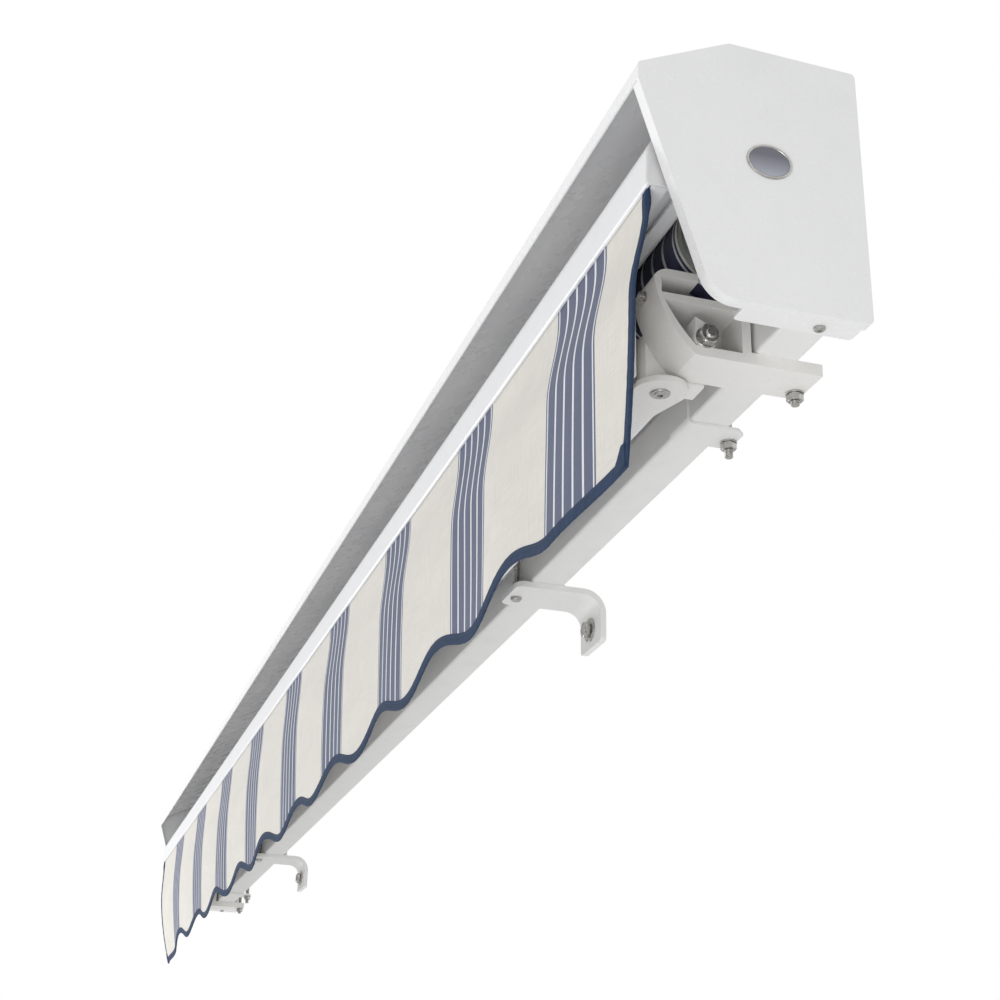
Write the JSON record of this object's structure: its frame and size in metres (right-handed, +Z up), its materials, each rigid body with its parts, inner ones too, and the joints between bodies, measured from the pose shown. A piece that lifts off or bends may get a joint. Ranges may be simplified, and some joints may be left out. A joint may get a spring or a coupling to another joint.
{
  "type": "retractable awning",
  "caption": "Folding-arm wall awning with a rigid hood, ribbed shoulder castings, spring arms, front rail and scalloped striped valance, shown retracted",
  "frame": {"origin": "midway between the two wall bolts, on the wall plane", "axes": "+X along the awning to its right-hand end seen from the front, +Y into the wall, +Z up"},
  "size_m": [3.0496, 0.2245, 0.379],
  "materials": {
    "white_steel": "satin powder coat",
    "white_aluminium": "satin powder coat",
    "stainless": "bright",
    "zinc_tube": "galvanised",
    "badge_metal": "satin",
    "striped_cloth": "woven acrylic, cream with slate-blue stripes",
    "navy_tape": "woven tape",
    "rolled_cloth": "woven acrylic in shade",
    "grey_plastic": "moulded",
    "white_plastic": "moulded",
    "motor_case": "painted"
  },
  "bodies": {
    "frame": {"torsion_bar": "white_steel", "hood_cover": "white_aluminium", "hood_end_cap_right": "white_aluminium", "hood_end_cap_left": "white_aluminium", "cap_badge": "badge_metal", "cap_screws": "stainless", "wall_bracket_right": "white_steel", "wall_bracket_left": "white_steel", "bracket_straps": "white_steel", "bracket_bolts": "stainless", "saddle_plates": "white_steel", "hood_supports": "white_steel", "saddle_bolts": "stainless", "shoulder_casting_right": "white_aluminium", "shoulder_casting_left": "white_aluminium", "casting_clamp_bolts": "stainless", "pitch_pivot_bolts": "stainless", "roller_motor": "motor_case", "motor_plate": "zinc_tube", "idler_plate": "zinc_tube", "bearing_screws": "stainless"},
    "roller": {"roller_tube": "zinc_tube", "cloth_roll": "rolled_cloth", "roller_end_plates": "grey_plastic", "motor_crown": "grey_plastic", "drive_wheel": "grey_plastic", "idler_plug": "grey_plastic"},
    "pitch_right": {"pitch_block_right": "white_aluminium"},
    "pitch_left": {"pitch_block_left": "white_aluminium"},
    "screw_right": {"pitch_screw_right": "stainless"},
    "screw_left": {"pitch_screw_left": "stainless"},
    "rear_arm_right": {"rear_arm_tube_right": "white_aluminium", "shoulder_fork_right": "white_aluminium", "shoulder_pin_right": "stainless", "elbow_fork_right": "white_aluminium", "elbow_pin_right": "stainless"},
    "rear_arm_left": {"rear_arm_tube_left": "white_aluminium", "shoulder_fork_left": "white_aluminium", "shoulder_pin_left": "stainless", "elbow_fork_left": "white_aluminium", "elbow_pin_left": "stainless"},
    "forearm_right": {"forearm_tube_right": "white_aluminium", "elbow_tongue_right": "white_aluminium", "wrist_eye_right": "white_aluminium", "arm_spring_right": "zinc_tube"},
    "forearm_left": {"forearm_tube_left": "white_aluminium", "elbow_tongue_left": "white_aluminium", "wrist_eye_left": "white_aluminium", "arm_spring_left": "zinc_tube"},
    "rail": {"front_rail": "white_aluminium", "rail_end_caps": "grey_plastic", "rail_mount_right": "white_aluminium", "rail_mount_left": "white_aluminium", "wrist_pins": "stainless", "valance": "striped_cloth", "valance_binding": "navy_tape", "keder_rods": "white_plastic", "canopy_hem": "striped_cloth"}
  },
  "joints": [
    {"name": "pitch_right_tilt", "type": "hinge", "parent": "frame", "child": "pitch_right", "pos_m": [1.3965, -0.135, 0.044], "axis": [1, 0, 0], "range_deg": [0, 15]},
    {"name": "pitch_left_tilt", "type": "hinge", "parent": "frame", "child": "pitch_left", "pos_m": [-1.3965, -0.135, 0.044], "axis": [1, 0, 0], "range_deg": [0, 15]},
    {"name": "screw_right_slide", "type": "slide", "parent": "frame", "child": "screw_right", "axis": [0, -1, 0], "range_m": [0, 0.0115]},
    {"name": "screw_left_slide", "type": "slide", "parent": "frame", "child": "screw_left", "axis": [0, -1, 0], "range_m": [0, 0.0115]},
    {"name": "shoulder_right", "type": "hinge", "parent": "pitch_right", "child": "rear_arm_right", "pos_m": [1.386, -0.152, 0.0455], "axis": [0, 0, 1], "range_deg": [0, 77]},
    {"name": "elbow_right", "type": "hinge", "parent": "rear_arm_right", "child": "forearm_right", "pos_m": [0.23615, -0.1705, 0.0455], "axis": [0, 0, 1], "range_deg": [-154.5, 0]},
    {"name": "wrist_right", "type": "hinge", "parent": "forearm_right", "child": "rail", "pos_m": [1.386, -0.189, 0.0455], "axis": [0, 0, 1], "range_deg": [0, 77.5]},
    {"name": "shoulder_left", "type": "hinge", "parent": "pitch_left", "child": "rear_arm_left", "pos_m": [-1.386, -0.152, 0.0455], "axis": [0, 0, 1], "range_deg": [-77.5, 0]},
    {"name": "elbow_left", "type": "hinge", "parent": "rear_arm_left", "child": "forearm_left", "pos_m": [-0.23615, -0.1705, 0.0455], "axis": [0, 0, 1], "range_deg": [0, 154.5]},
    {"name": "roller_spin", "type": "hinge", "parent": "frame", "child": "roller", "pos_m": [0, -0.114, 0.142], "axis": [1, 0, 0], "range_deg": [0, 3060]}
  ],
  "couplings": [
    {"joint": "pitch_left_tilt", "follows": "pitch_right_tilt", "ratio": 1},
    {"joint": "screw_right_slide", "follows": "pitch_right_tilt", "m_per_rad": 0.0435},
    {"joint": "screw_left_slide", "follows": "pitch_right_tilt", "m_per_rad": 0.0435},
    {"joint": "elbow_right", "follows": "shoulder_right", "ratio": -2},
    {"joint": "wrist_right", "follows": "shoulder_right", "ratio": 1},
    {"joint": "shoulder_left", "follows": "shoulder_right", "ratio": -1},
    {"joint": "elbow_left", "follows": "shoulder_right", "ratio": 2},
    {"joint": "roller_spin", "follows": "shoulder_right", "ratio": 39.663}
  ]
}
